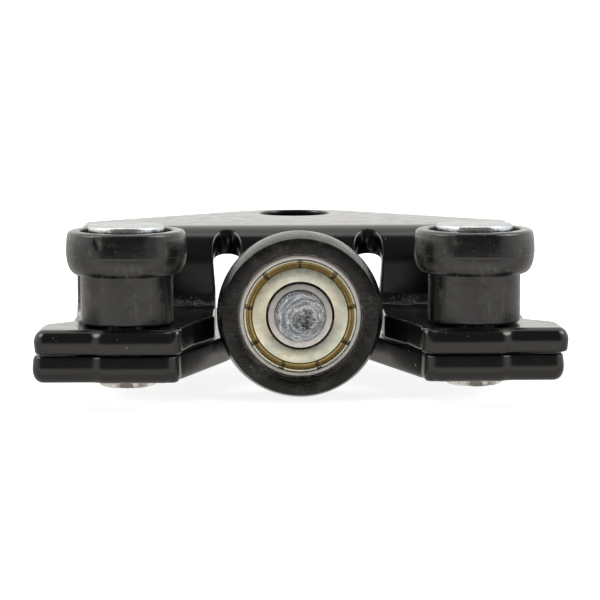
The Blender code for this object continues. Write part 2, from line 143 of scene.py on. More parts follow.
# ---------------------------------------------------------------- outlines


def rounded(corners, closed=True, tolerance=0.006 * MM):
    """Points along an outline whose corners are (x, y, radius)."""
    points = []
    count = len(corners)
    for index, (x, y, radius) in enumerate(corners):
        at_end = not closed and index in (0, count - 1)
        if radius == 0.0 or at_end:
            points.append((x, y))
            continue
        before = corners[index - 1]
        after = corners[(index + 1) % count]
        to_before = math.atan2(before[1] - y, before[0] - x)
        to_after = math.atan2(after[1] - y, after[0] - x)
        turn = math.remainder(to_after - to_before, math.tau)
        bisector = to_before + turn / 2
        reach = radius / math.sin(abs(turn) / 2)
        centre_x = x + reach * math.cos(bisector)
        centre_y = y + reach * math.sin(bisector)
        sweep = math.copysign(math.pi - abs(turn), turn)
        first = bisector + math.pi + sweep / 2
        steps = max(2, math.ceil(abs(sweep) / (2 * math.acos(1 - tolerance / radius))))
        for step in range(steps + 1):
            angle = first - sweep * step / steps
            points.append((centre_x + radius * math.cos(angle), centre_y + radius * math.sin(angle)))
    return points


def open_line(*corners, tolerance=0.006 * MM):
    """The same for a line with two ends."""
    return rounded(corners, False, tolerance)


def both_sides(right, left):
    """The +X half of an outline and the mirror image of the other, which is given as +X too."""
    return right + [(-x, y, radius) for x, y, radius in reversed(left) if x != 0.0]


def circle(x, y, radius, steps=72):
    turns = [math.tau * step / steps for step in range(steps)]
    return [(x + radius * math.cos(turn), y + radius * math.sin(turn)) for turn in turns]


def resampled(points, spacing):
    """The closed outline with no stretch longer than the spacing and no doubled points."""
    result = []
    for index, (x, y) in enumerate(points):
        next_x, next_y = points[(index + 1) % len(points)]
        length = math.hypot(next_x - x, next_y - y)
        if length < CLOSEST:
            continue
        pieces = max(1, math.ceil(length / spacing))
        for step in range(pieces):
            share = step / pieces
            result.append((x + (next_x - x) * share, y + (next_y - y) * share))
    return result


def signed_area(points):
    total = 0.0
    for index, (x, y) in enumerate(points):
        next_x, next_y = points[(index + 1) % len(points)]
        total += x * next_y - next_x * y
    return total / 2


def turned_to(points, counterclockwise):
    if (signed_area(points) > 0) == counterclockwise:
        return points
    return points[::-1]


# ---------------------------------------------------------------- sheet metal


def rim_rows(face_round, back_round, lean, spread):
    """(inset, shift along the sheet, height) rows from the sheet's face, round its edge, to its back."""
    half = SHEET / 2
    flat = 0.25 * MM
    face_tall = face_round * EDGE_STRETCH
    back_tall = back_round * EDGE_STRETCH
    rows = [(face_round + flat, half)]
    arc_steps = 7
    for step in range(arc_steps + 1):
        angle = math.pi / 2 * step / arc_steps
        rows.append((face_round * (1 - math.sin(angle)), half - face_tall * (1 - math.cos(angle))))
    wall_top = half - face_tall
    wall_bottom = -half + back_tall
    wall_steps = 8
    for step in range(1, wall_steps):
        rows.append((0.0, wall_top + (wall_bottom - wall_top) * step / wall_steps))
    for step in range(arc_steps + 1):
        angle = math.pi / 2 * step / arc_steps
        rows.append((back_round * (1 - math.cos(angle)), -half + back_tall * (1 - math.sin(angle))))
    rows.append((back_round + flat, -half))
    leaning = []
    for inset, height in rows:
        depth = 0.5 - height / SHEET
        bowed = depth * depth if depth < 0.5 else depth - 0.25
        set_back = lean * bowed if lean > 0 else -lean * (1 - depth)
        leaning.append((inset + set_back, -spread * (1 - depth), height))
    return leaning


def eased(value, low, high):
    share = min(1.0, max(0.0, (value - low) / (high - low)))
    return share * share * (3 - 2 * share)


def hole_edge(x, y):
    """Edge style of a punched hole, the same all round."""
    return HOLE_EDGE


def outer_edge(style, x):
    """The full edge style away from the wheel's notch, and a small one beside it."""
    outside = eased(abs(x), NOTCH_HALF, NOTCH_HALF + 2.0 * MM)
    return [small + (big - small) * outside for big, small in zip(style, HOLE_EDGE)]


def bracket_edge(x, along):
    """Edge style on the bracket. The bend has squeezed the sheet's back into the slots' tops."""
    if along < -1.0 * MM:
        return BRACKET_EDGE
    style = outer_edge(BRACKET_EDGE, x)
    slot_top = TOP_MIDDLE_RADIUS * SLOT_TOP_ANGLE
    if abs(x) < SLOT_OUTER + 0.1 * MM:
        style[3] = SLOT_SPREAD * (1 - eased(along, slot_top, slot_top + SLOT_WIDTH))
    return style


def lower_edge(x, y):
    return LOWER_EDGE if y > WALL_FRONT else outer_edge(LOWER_EDGE, x)


def inward_normals(points):
    """Unit normals to the left of each point of a loop, stretched to keep the offset even."""
    normals = []
    count = len(points)
    for index in range(count):
        here = Vector(points[index])
        before = (here - Vector(points[index - 1])).normalized()
        after = (Vector(points[(index + 1) % count]) - here).normalized()
        left = Vector((-before.y - after.y, before.x + after.x)).normalized()
        stretch = 1 / max(0.5, math.sqrt((1 + before.dot(after)) / 2))
        normals.append(left * stretch)
    return normals


def sheet_mesh(name, loops, fold, cuts):
    """A sheet with rounded edges. loops holds (points, edge style at a point), outline first.

    The mesh keeps two vertex attributes for its finish: "flat" is the place on the unfolded
    sheet, and "rim" is (distance along the edge, height, 1 on the edge).
    """
    shape = bmesh.new()
    flat = shape.verts.layers.float_vector.new("flat")
    rim = shape.verts.layers.float_vector.new("rim")
    cap_edges = ([], [])
    for number, (raw, style) in enumerate(loops):
        points = resampled(turned_to(raw, number == 0), RIM_SPACING)
        normals = inward_normals(points)
        lengths = [0.0]
        for index in range(1, len(points)):
            lengths.append(lengths[-1] + math.dist(points[index], points[index - 1]))
        profiles = [rim_rows(*style(x, y)) for x, y in points]
        rows = []
        for place in range(len(profiles[0])):
            row = []
            on_edge = 0.0 if place in (0, len(profiles[0]) - 1) else 1.0
            for index, (x, y) in enumerate(points):
                inset, shift, height = profiles[index][place]
                spot = (x + normals[index].x * inset, y + normals[index].y * inset + shift, height)
                vertex = shape.verts.new(spot)
                vertex[flat] = spot
                vertex[rim] = (lengths[index], height, on_edge)
                row.append(vertex)
            rows.append(row)
        count = len(points)
        for upper, lower in zip(rows, rows[1:]):
            for index in range(count):
                after = (index + 1) % count
                shape.faces.new((upper[index], upper[after], lower[after], lower[index]))
        for side, row in ((0, rows[0]), (1, rows[-1])):
            for index in range(count):
                cap_edges[side].append(shape.edges.get((row[index], row[(index + 1) % count])))
    for side in (0, 1):
        bmesh.ops.triangle_fill(shape, edges=cap_edges[side], use_beauty=True, use_dissolve=False)
    for along in cuts:
        everything = shape.verts[:] + shape.edges[:] + shape.faces[:]
        bmesh.ops.bisect_plane(
            shape, geom=everything, dist=0.002 * MM, plane_co=(0.0, along, 0.0), plane_no=(0.0, 1.0, 0.0)
        )
    bmesh.ops.recalc_face_normals(shape, faces=shape.faces)
    for vertex in shape.verts:
        vertex.co = fold(*vertex.co)
    if shape.calc_volume(signed=True) < 0:
        bmesh.ops.reverse_faces(shape, faces=shape.faces)
    mesh = bpy.data.meshes.new(name)
    shape.to_mesh(mesh)
    shape.free()
    mesh.shade_smooth()
    return mesh


def back_corners():
    """The +X half of both sheets' rear outline: the nose and the shoulder."""
    return [(0.0, NOSE_APEX, NOSE_RADIUS), (HALF_WIDTH, SHOULDER_Y, 3.0 * MM)]


def ear_corners(end, front):
    """The +X outer side of the lobe round a roller pin, back to front."""
    return [
        (HALF_WIDTH, -43.0 * MM, 4.0 * MM),
        (39.2 * MM, -49.8 * MM, 3.0 * MM),
        (end - 0.5 * MM, -55.8 * MM, 3.5 * MM),
        (end, front, 2.5 * MM),
        (36.3 * MM, front, 2.4 * MM),
        (34.6 * MM, front - 1.1 * MM, 3.0 * MM),
    ]


def unfolded_top(y):
    """Distance along the bracket's sheet, forward from the start of the top bend."""
    return WALL_FRONT + TOP_BEND - y


def unfolded_flange(y):
    return TOP_ARC + WALL_LENGTH + FLANGE_ARC + WALL_FRONT - FLANGE_BEND - y


def bracket_half():
    """The +X half of the bracket's unfolded outline, from the nose to the tab's end."""
    back = [(x, unfolded_top(y), radius) for x, y, radius in back_corners()]
    inner = [
        (20.7 * MM, -67.6 * MM, 2.8 * MM),
        (20.7 * MM, -63.0 * MM, 3.0 * MM),
        (18.8 * MM, -55.5 * MM, 6.0 * MM),
        (LEG_INNER, -46.8 * MM, 3.0 * MM),
    ]
    flange = ear_corners(BRACKET_HIGH.x + 0.85 * MM, -66.5 * MM) + inner
    front = [(x, unfolded_flange(y), radius) for x, y, radius in flange]
    slot_end = TOP_MIDDLE_RADIUS * SLOT_TOP_ANGLE
    slot_round = SLOT_WIDTH / 2 * 0.95
    tab_end = TOP_ARC - TOP_BEND - WHEEL.z + TAB_HALF
    tab_round = TAB_HALF * FULL_ROUND
    tab = [
        (LEG_INNER, slot_end + 7.0 * MM, 8.0 * MM),
        (SLOT_OUTER, slot_end, slot_round),
        (TAB_HALF, slot_end, slot_round),
        (TAB_HALF, tab_end, tab_round),
    ]
    return back + front + tab


def folded(x, along, height):
    """Place on the bent bracket of a point of its flat sheet; height is from the middle surface."""
    if along < 0.0:
        return (x, WALL_FRONT + TOP_BEND - along, height - SHEET / 2)
    if along < TOP_ARC:
        angle = along / TOP_MIDDLE_RADIUS
        radius = TOP_MIDDLE_RADIUS + height
        y = WALL_FRONT + TOP_BEND - radius * math.sin(angle)
        return (x, y, -TOP_BEND + radius * math.cos(angle))
    down = along - TOP_ARC
    on_tab = abs(x) < (TAB_HALF + SLOT_OUTER) / 2
    if down < WALL_LENGTH or on_tab:
        return (x, WALL_FRONT + SHEET / 2 - height, -TOP_BEND - down)
    round_bend = down - WALL_LENGTH
    centre_y = WALL_FRONT - FLANGE_BEND
    centre_z = FLANGE_TOP + FLANGE_BEND
    if round_bend < FLANGE_ARC:
        angle = round_bend / FLANGE_MIDDLE_RADIUS
        radius = FLANGE_MIDDLE_RADIUS - height
        return (x, centre_y + radius * math.cos(angle), centre_z - radius * math.sin(angle))
    return (x, centre_y - (round_bend - FLANGE_ARC), FLANGE_TOP - SHEET / 2 + height)


def fold_lines():
    """Places along the flat bracket where cuts let its two bends curve."""
    first = [TOP_ARC * step / FOLD_STEPS for step in range(FOLD_STEPS + 1)]
    start = TOP_ARC + WALL_LENGTH
    return first + [start + FLANGE_ARC * step / FOLD_STEPS for step in range(FOLD_STEPS + 1)]


def pin_holes(along):
    """The roller pins' holes at a place along a sheet, with their edges."""
    return [(circle(side * ROLLER_SPACING, along, PIN_HOLE_RADIUS), hole_edge) for side in (-1, 1)]


def bracket_mesh():
    blank = rounded(both_sides(bracket_half(), bracket_half()))
    pivot = circle(0.0, unfolded_top(0.0), PIVOT_RADIUS, 96)
    axle = circle(0.0, TOP_ARC - TOP_BEND - WHEEL.z, PIN_HOLE_RADIUS)
    loops = [(blank, bracket_edge), (pivot, hole_edge), (axle, hole_edge)]
    loops += pin_holes(unfolded_flange(ROLLER_Y))
    return sheet_mesh("upper_bracket_sheet", loops, folded, fold_lines())


def lower_mesh():
    """The flat lower sheet. Its left ear, at -X, is drawn longer than the right one."""
    inner = [
        (21.0 * MM, -67.4 * MM, 3.0 * MM),
        (21.0 * MM, -62.0 * MM, 4.0 * MM),
        (15.9 * MM, -48.0 * MM, 8.0 * MM),
        (13.0 * MM, -40.0 * MM, 4.0 * MM),
        (11.3 * MM, -34.0 * MM, 3.0 * MM),
        (11.3 * MM, -23.5 * MM, 9.0 * MM),
    ]
    right_longer = 0.5 * MM
    left_longer = 1.5 * MM
    halves = [
        back_corners() + ear_corners(LOWER_HIGH.x + longer, -66.3 * MM) + inner
        for longer in (right_longer, left_longer)
    ]
    blank = rounded(both_sides(*halves))
    pivot = circle(0.0, 0.0, PIVOT_RADIUS, 96)
    loops = [(blank, lower_edge), (pivot, hole_edge)] + pin_holes(ROLLER_Y)

    def laid_flat(x, y, height):
        return (x, y, LOWER_HIGH.z + (height - SHEET / 2) * LOWER_THICKENING)

    return sheet_mesh("lower_plate_sheet", loops, laid_flat, [])


# ---------------------------------------------------------------- turned pieces


def mirrored(profile):
    """The (radius, height) profile on the far side of height 0, in the order that goes on from it."""
    return [(radius, -height) for radius, height in reversed(profile)]


def lathe(name, profile, steps, closed=True, shape_of=None):
    """A (radius, height) profile turned about Z. shape_of(radius, height, angle) may move a point."""
    shape = bmesh.new()
    columns = []
    poles = {}
    for step in range(steps):
        angle = math.tau * step / steps
        column = []
        for index, (radius, height) in enumerate(profile):
            if radius < 1e-9:
                if index not in poles:
                    poles[index] = shape.verts.new((0.0, 0.0, height))
                column.append(poles[index])
                continue
            if shape_of is None:
                new_radius, new_height = radius, height
            else:
                new_radius, new_height = shape_of(radius, height, angle)
            spot = (new_radius * math.cos(angle), new_radius * math.sin(angle), new_height)
            column.append(shape.verts.new(spot))
        columns.append(column)
    count = len(profile)
    last = count if closed else count - 1
    for step in range(steps):
        here = columns[step]
        there = columns[(step + 1) % steps]
        for index in range(last):
            after = (index + 1) % count
            corners = [here[index], there[index], there[after], here[after]]
            distinct = []
            for vertex in corners:
                if vertex not in distinct:
                    distinct.append(vertex)
            if len(distinct) > 2:
                shape.faces.new(distinct)
    bmesh.ops.recalc_face_normals(shape, faces=shape.faces)
    if shape.calc_volume(signed=True) < 0:
        bmesh.ops.reverse_faces(shape, faces=shape.faces)
    mesh = bpy.data.meshes.new(name)
    shape.to_mesh(mesh)
    shape.free()
    mesh.shade_smooth()
    mesh.set_sharp_from_angle(angle=math.radians(50.0))
    return mesh


def spot_noise(radius, height, angle, scale, seed):
    """Smooth noise from -1 to 1 on a turned surface; scale is in bumps per metre."""
    place = Vector((radius * math.cos(angle), radius * math.sin(angle), height)) * scale
    return noise.noise(place + Vector((seed, 2.0 * seed, -seed)))


def dent(angle, height, at_angle, at_height, radius, reach):
    """Share from 0 to 1 of a round dent on a drum of the given radius."""
    across = radius * math.remainder(angle - at_angle, math.tau)
    distance = math.hypot(across, height - at_height) / reach
    return math.exp(-distance * distance * 2.0)


def guide_roller_mesh(name, nicks):
    """Crowned flange over a narrower hub. nicks holds (angle, height, reach, depth) dents."""
    top = ROLLER_HEIGHT
    part_line = 11.85 * MM
    crown = 0.3 * MM
    shoulder = 8.3 * MM
    hub = 8.08 * MM
    bore = 4.8 * MM
    recess = 8.1 * MM
    profile = open_line(
        (recess, top - 1.1 * MM, 0.3 * MM),
        (recess, top, 0.25 * MM),
        (ROLLER_RADIUS - crown, top, 0.8 * MM),
        (ROLLER_RADIUS - crown * 0.6, top - 1.1 * MM, 0.0),
    )
    crown_steps = 12
    crown_start = 0.76
    for step in range(1, crown_steps + 1):
        share = crown_start * (1 - step / crown_steps)
        height = part_line + (top - part_line) * share
        profile.append((ROLLER_RADIUS - crown * share * share, height))
    below = ROLLER_RADIUS - 0.05 * MM
    profile.append((below, part_line - 0.04 * MM))
    tuck = 1.8 * MM
    belly_steps = 14
    for step in range(1, belly_steps + 1):
        angle = math.pi / 2 * step / belly_steps
        radius = below - tuck * (1 - math.cos(angle))
        profile.append((radius, part_line - (part_line - shoulder) * math.sin(angle)))
    profile += open_line(
        (ROLLER_RADIUS - tuck - 0.05 * MM, shoulder, 0.0),
        (hub, shoulder, 0.25 * MM),
        (hub, -0.3 * MM, 0.45 * MM),
        (bore, -0.3 * MM, 0.3 * MM),
        (bore, top - 1.1 * MM, 0.0),
    )[1:]

    def worn(radius, height, angle):
        depth = 0.012 * MM * spot_noise(radius, height, angle, 240.0, 3.0)
        for at_angle, at_height, reach, deep in nicks:
            depth += deep * dent(angle, height, at_angle, at_height, ROLLER_RADIUS, reach)
        outer = radius > hub - 0.1 * MM
        return (radius - depth if outer else radius, height)

    return lathe(name, profile, 240, True, worn)


def roller_pin_mesh(name, seed):
    """Flat bright head, plain shank and a hammered lower end. Heights are the frame's own."""
    head_low = PIN_TOP - 1.8 * MM
    bottom = PIN_BOTTOM - 0.35 * MM
    rivet_top = LOWER_HIGH.z - SHEET * LOWER_THICKENING - 0.02 * MM
    journal = 4.5 * MM
    shank = 3.7 * MM
    rivet = 5.2 * MM
    profile = [(0.0, PIN_TOP), (2.5 * MM, PIN_TOP), (journal, PIN_TOP)]
    profile += open_line(
        (5.2 * MM, PIN_TOP, 0.0),
        (PIN_RADIUS, PIN_TOP, 0.55 * MM),
        (PIN_RADIUS, head_low, 0.3 * MM),
        (journal, head_low, 0.0),
        (journal, ROLLER_BASE, 0.0),
        (shank, ROLLER_BASE, 0.0),
        (shank, rivet_top, 0.0),
        (rivet, rivet_top, 0.15 * MM),
        (rivet, bottom, 0.9 * MM),
        (2.6 * MM, bottom, 0.0),
    )
    profile += [(1.4 * MM, bottom + 0.15 * MM), (0.0, bottom + 0.3 * MM)]

    def hammered(radius, height, angle):
        if height > head_low - 0.1 * MM:
            ripple = spot_noise(radius, height, angle, 420.0, seed)
            edge = max(0.0, radius / PIN_RADIUS - 0.8) * 5.0
            sag = 0.05 * MM * spot_noise(radius, height, angle, 160.0, seed + 4.0)
            return (radius + 0.07 * MM * ripple * edge, height + sag * edge)
        if height < rivet_top + 0.01 * MM and radius > 0.1 * MM:
            ripple = spot_noise(radius, height, angle, 500.0, seed)
            share = min(1.0, (rivet_top - height) / (0.5 * MM))
            return (radius + 0.25 * MM * ripple * share, height + 0.12 * MM * ripple * share)
        return (radius, height)

    return lathe(name, profile, 112, False, hammered)


def tyre_mesh():
    """Moulded tyre: flat faces, crowned tread and a ragged lip of flash over the bearing's edge."""
    half = WHEEL_HALF_WIDTH
    crown = 0.85 * MM
    rim = WHEEL_RADIUS - crown
    bore = BEARING_RADIUS + 0.3 * MM
    seat = BEARING_HALF_WIDTH
    edge = 0.28 * MM
    outer = []
    tread_steps = 18
    for step in range(tread_steps + 1):
        across = 1 - 2 * step / tread_steps
        outer.append((WHEEL_RADIUS - crown * across * across, (half - edge) * across))
    front = [(bore, half - 0.2 * MM), (bore + 0.06 * MM, half - 0.06 * MM), (bore + 0.2 * MM, half)]
    front += open_line((bore, half, 0.2 * MM), (rim, half, edge), outer[0] + (0.0,))[1:-1]
    lip = BEARING_RADIUS - 0.12 * MM
    flash = [
        (bore, seat + 0.01 * MM),
        (lip, seat + 0.01 * MM),
        (lip, seat + 0.05 * MM),
        (bore, seat + 0.35 * MM),
    ]
    profile = front + outer + mirrored(front) + mirrored(flash) + flash

    def moulded(radius, height, angle):
        if radius < BEARING_RADIUS:
            ragged = spot_noise(radius, height, angle, 900.0, 7.0)
            slow = spot_noise(radius, height, angle, 150.0, 11.0)
            return (radius + 0.07 * MM * ragged + 0.07 * MM * slow, height)
        wave = 0.02 * MM * spot_noise(radius, height, angle, 120.0, 5.0)
        return (radius + wave, height)

    return lathe("tyre_moulding", profile, 240, True, moulded)


def race(shoulder, middle):
    """A ball groove between two shoulders of a ring; middle is its deepest point's angle."""
    opening = math.acos(abs(shoulder - PITCH_RADIUS) / GROOVE_RADIUS)
    steps = 16
    angles = [middle - opening + 2 * opening * step / steps for step in range(steps + 1)]
    return [
        (PITCH_RADIUS + GROOVE_RADIUS * math.cos(angle), GROOVE_RADIUS * math.sin(angle))
        for angle in angles
    ]


def outer_ring_mesh():
    """Ground ring with a small chamfer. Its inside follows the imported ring's groove."""
    half = BEARING_HALF_WIDTH
    lip = 10.1 * MM
    seat = half - 1.0 * MM
    shoulder = 8.9 * MM
    outside = open_line(
        (lip, half - 0.3 * MM, 0.0),
        (lip, half, 0.1 * MM),
        (BEARING_RADIUS, half, 0.3 * MM),
        (BEARING_RADIUS, -half, 0.3 * MM),
        (lip, -half, 0.1 * MM),
        (lip, -half + 0.3 * MM, 0.0),
    )
    groove = race(shoulder, 0.0)
    profile = outside + [(lip, -seat), (shoulder, -seat)] + groove + [(shoulder, seat), (lip, seat)]
    return lathe("outer_ring_ground", profile, 160)


def inner_ring_mesh():
    half = BEARING_HALF_WIDTH
    bore = 4.0 * MM
    shoulder = 5.72 * MM
    ends = open_line(
        (shoulder, -half * 0.7, 0.0),
        (shoulder, -half, 0.12 * MM),
        (bore, -half, 0.3 * MM),
        (bore, half, 0.3 * MM),
        (shoulder, half, 0.12 * MM),
        (shoulder, half * 0.7, 0.0),
    )
    return lathe("inner_ring_ground", ends + race(shoulder, math.pi), 128)


def shield_mesh(name):
    """Pressed shield: flat annulus, rounded shoulder, channel and a lip crimped at nine places."""
    face = BEARING_HALF_WIDTH - 0.12 * MM
    dip = 0.42 * MM
    sheet = 0.3 * MM
    inner = 6.02 * MM
    outer = 10.06 * MM
    front = open_line(
        (inner, face - 0.12 * MM, 0.0),
        (inner + 0.1 * MM, face, 0.08 * MM),
        (8.5 * MM, face, 0.16 * MM),
        (8.72 * MM, face - dip, 0.15 * MM),
        (9.5 * MM, face - dip, 0.15 * MM),
        (9.62 * MM, face + 0.02 * MM, 0.1 * MM),
        (outer - 0.05 * MM, face + 0.02 * MM, 0.12 * MM),
        (outer, face - 0.2 * MM, 0.0),
        tolerance=0.002 * MM,
    )
    back = [(outer, face - dip - sheet), (8.6 * MM, face - dip - sheet), (8.4 * MM, face - sheet)]
    profile = front + back + [(inner, face - sheet)]

    def crimped(radius, height, angle):
        away = abs(math.remainder(angle - math.pi / 2, math.tau / CRIMPS)) * radius
        pressed = max(0.0, 1 - (away / (0.42 * MM)) ** 4)
        if radius > 9.4 * MM and height > face - 0.3 * MM:
            height -= 0.34 * MM * pressed
            radius -= 0.05 * MM * pressed
        elif 8.55 * MM < radius <= 9.5 * MM and height > face - dip - 0.1 * MM:
            height -= 0.14 * MM * pressed
        uneven = 0.012 * MM * spot_noise(radius, 0.0, angle, 260.0, 9.0)
        return (radius, height + uneven)

    return lathe(name, profile, 540, True, crimped)


def axle_mesh():
    """Axle with its front end hammered over the inner ring and a crater left by the tool."""
    half = BEARING_HALF_WIDTH
    face = half + 1.15 * MM
    edge = 4.66 * MM
    collar_back = WALL_FRONT - WHEEL.y
    tab_back = collar_back + SHEET
    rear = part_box("load_wheel_axle")[1].y - WHEEL.y
    bore = 3.9 * MM
    collar = 5.6 * MM
    tab_hole = 3.95 * MM
    gap = 0.02 * MM
    profile = [(0.0, face)]
    rings = 34
    for step in range(1, rings + 1):
        profile.append(((edge - 0.75 * MM) * step / rings, face))
    profile += open_line(
        (edge - 0.6 * MM, face - 0.01 * MM, 0.0),
        (edge - 0.12 * MM, face - 0.3 * MM, 0.35 * MM),
        (edge, half + gap, 0.1 * MM),
        (bore, half + gap, 0.0),
        (bore, -half, 0.0),
        (collar, -half, 0.2 * MM),
        (collar, -collar_back, 0.2 * MM),
        (tab_hole, -collar_back, 0.0),
        (tab_hole, -tab_back - gap, 0.0),
        (5.5 * MM, -tab_back - gap, 0.2 * MM),
        (5.3 * MM, -rear, 0.5 * MM),
        (2.4 * MM, -rear, 0.0),
    )
    profile += [(1.2 * MM, -rear + 0.3 * MM), (0.0, -rear + 0.45 * MM)]

    def hammered(radius, height, angle):
        if height < half + 0.1 * MM:
            if height < -tab_back - 0.1 * MM and radius > 0.1 * MM:
                ripple = spot_noise(radius, height, angle, 420.0, 21.0)
                return (radius + 0.15 * MM * ripple, height + 0.1 * MM * ripple)
            return (radius, height)
        spot = Vector((radius * math.cos(angle), radius * math.sin(angle)))
        away = (spot - CRATER).length
        turn = math.atan2(spot.y - CRATER.y, spot.x - CRATER.x)
        bowl = 0.42 * MM * math.exp(-((away / (1.75 * MM)) ** 4))
        swirl = noise.noise(Vector((away * 1500.0, turn * 1.2, 3.0)))
        fine = noise.noise(Vector((spot.x * 2600.0, spot.y * 2600.0, 8.0)))
        coarse = noise.noise(Vector((spot.x * 700.0, spot.y * 700.0, 1.0)))
        inside = 1.0 if away < 1.9 * MM else 0.45
        rough = 0.06 * MM * swirl + 0.05 * MM * fine * inside + 0.1 * MM * coarse
        fade = min(1.0, max(0.0, (edge - 0.2 * MM - radius) / (0.9 * MM)))
        lip = 0.05 * MM * spot_noise(radius, 0.0, angle, 500.0, 13.0)
        return (radius + lip * (1 - fade), height - bowl + rough * (0.25 + 0.75 * fade))

    return lathe("axle_peened", profile, 200, False, hammered)


# ---------------------------------------------------------------- finishes


class Nodes:
    """Shader nodes being wired up in one tree."""

    def __init__(self, tree):
        self.tree = tree

    def add(self, kind, **settings):
        node = self.tree.nodes.new(kind)
        for key, value in settings.items():
            setattr(node, key, value)
        return node

    def join(self, source, target):
        self.tree.links.new(source, target)

    def part(self, vector, axis):
        node = self.add("ShaderNodeSeparateXYZ")
        self.join(vector, node.inputs["Vector"])
        return node.outputs[axis]

    def ranged(self, value, low, high, to_low=0.0, to_high=1.0):
        node = self.add("ShaderNodeMapRange", interpolation_type="SMOOTHSTEP")
        node.inputs["From Min"].default_value = low
        node.inputs["From Max"].default_value = high
        node.inputs["To Min"].default_value = to_low
        node.inputs["To Max"].default_value = to_high
        self.join(value, node.inputs["Value"])
        return node.outputs["Result"]

    def maths(self, operation, first, second):
        node = self.add("ShaderNodeMath", operation=operation)
        for socket, value in zip(node.inputs, (first, second)):
            if isinstance(value, (int, float)):
                socket.default_value = value
            else:
                self.join(value, socket)
        return node.outputs["Value"]

    def times(self, first, second):
        return self.maths("MULTIPLY", first, second)

    def plus(self, first, second):
        return self.maths("ADD", first, second)

    def minus(self, first, second):
        return self.maths("SUBTRACT", first, second)


class Finish(Nodes):
    """A procedural material under construction. Values that don't vary sit on the shader itself."""

    def __init__(self, name, **values):
        self.material = bpy.data.materials.new(name)
        self.material.use_nodes = True
        super().__init__(self.material.node_tree)
        self.shader = self.tree.nodes["Principled BSDF"]
        for socket, value in values.items():
            self.shader.inputs[socket.replace("_", " ")].default_value = value
        self.place = self.add("ShaderNodeTexCoord").outputs["Object"]

    def to_shader(self, source, socket):
        self.join(source, self.shader.inputs[socket])

    def attribute(self, name):
        return self.add("ShaderNodeAttribute", attribute_name=name).outputs["Vector"]

    def stretched(self, vector, scale):
        node = self.add("ShaderNodeMapping")
        node.inputs["Scale"].default_value = scale
        self.join(vector, node.inputs["Vector"])
        return node.outputs["Vector"]

    def noise(self, scale, detail=2.0, roughness=0.5, vector=None):
        node = self.add("ShaderNodeTexNoise")
        node.inputs["Scale"].default_value = scale
        node.inputs["Detail"].default_value = detail
        node.inputs["Roughness"].default_value = roughness
        self.join(vector or self.place, node.inputs["Vector"])
        return node.outputs["Fac"]

    def drifting(self, scale, detail, low, high):
        """A value that drifts between two values over the surface."""
        return self.ranged(self.noise(scale, detail, 0.6), 0.3, 0.7, low, high)

    def blended(self, share, first, second):
        """A colour between two colours or colour outputs."""
        node = self.add("ShaderNodeMix", data_type="RGBA")
        self.join(share, node.inputs["Factor"])
        for socket, value in ((node.inputs[6], first), (node.inputs[7], second)):
            if isinstance(value, tuple):
                socket.default_value = (*value, 1.0)
            else:
                self.join(value, socket)
        return node.outputs[2]

    def length(self, across, up):
        squares = self.plus(self.times(across, across), self.times(up, up))
        return self.maths("SQRT", squares, 0.0)

    def from_axis(self):
        """Distance from the piece's own Z axis."""
        return self.length(self.part(self.place, "X"), self.part(self.place, "Y"))

    def specks(self, scale, share, radius):
        """1 on small round specks, about one for every 1/share cells, and 0 elsewhere."""
        node = self.add("ShaderNodeTexVoronoi")
        node.inputs["Scale"].default_value = scale
        self.join(self.place, node.inputs["Vector"])
        near = self.ranged(node.outputs["Distance"], radius, radius * 0.5)
        chosen = self.ranged(self.part(node.outputs["Color"], "X"), 1 - share, 1 - share * 0.9)
        return self.times(near, chosen)

    def bump(self, height, distance, before=None):
        node = self.add("ShaderNodeBump")
        node.inputs["Distance"].default_value = distance
        self.join(height, node.inputs["Height"])
        if before is not None:
            self.join(before, node.inputs["Normal"])
        return node.outputs["Normal"]


def black_paint():
    """Gloss black dip paint: orange peel, streaks on the sheared edges, a crinkled fold, dust."""
    finish = Finish("gloss_black_paint", Specular_IOR_Level=0.5)
    rim = finish.attribute("rim")
    flat = finish.attribute("flat")
    on_edge = finish.ranged(finish.part(rim, "Z"), 0.2, 0.9)
    streaks = finish.noise(1.0, 3.0, 0.6, finish.stretched(rim, (3200.0, 160.0, 0.0)))
    peel = finish.noise(900.0, 2.0, 0.5)
    waves = finish.noise(120.0, 1.0, 0.4)
    fold = TOP_ARC + WALL_LENGTH + FLANGE_ARC * 0.35
    along = finish.part(flat, "Y")
    before = finish.ranged(along, fold - 2.6 * MM, fold - 1.0 * MM)
    after = finish.ranged(along, fold + 2.8 * MM, fold + 1.2 * MM)
    patchy = finish.ranged(finish.noise(420.0, 3.0, 0.6), 0.42, 0.6)
    in_fold = finish.times(finish.times(before, after), patchy)
    crinkle = finish.noise(1100.0, 4.0, 0.75)
    dust = finish.specks(600.0, 0.035, 0.12)
    fine_dust = finish.specks(1900.0, 0.03, 0.2)
    dirt = finish.maths("MAXIMUM", dust, fine_dust)
    base = finish.blended(finish.noise(60.0, 3.0, 0.6), (0.0025, 0.0025, 0.0024), (0.0050, 0.0049, 0.0047))
    finish.to_shader(finish.blended(dirt, base, (0.25, 0.24, 0.22)), "Base Color")
    rough = finish.ranged(finish.noise(300.0, 4.0, 0.6), 0.3, 0.75, 0.17, 0.23)
    rough = finish.plus(rough, finish.times(in_fold, 0.06))
    finish.to_shader(finish.maths("MAXIMUM", rough, finish.times(dirt, 0.8)), "Roughness")
    normal = finish.bump(waves, 0.003 * MM)
    normal = finish.bump(peel, 0.001 * MM, normal)
    normal = finish.bump(finish.times(crinkle, in_fold), 0.3 * MM, normal)
    normal = finish.bump(finish.times(streaks, on_edge), 0.018 * MM, normal)
    normal = finish.bump(dirt, 0.05 * MM, normal)
    finish.to_shader(normal, "Normal")
    return finish.material


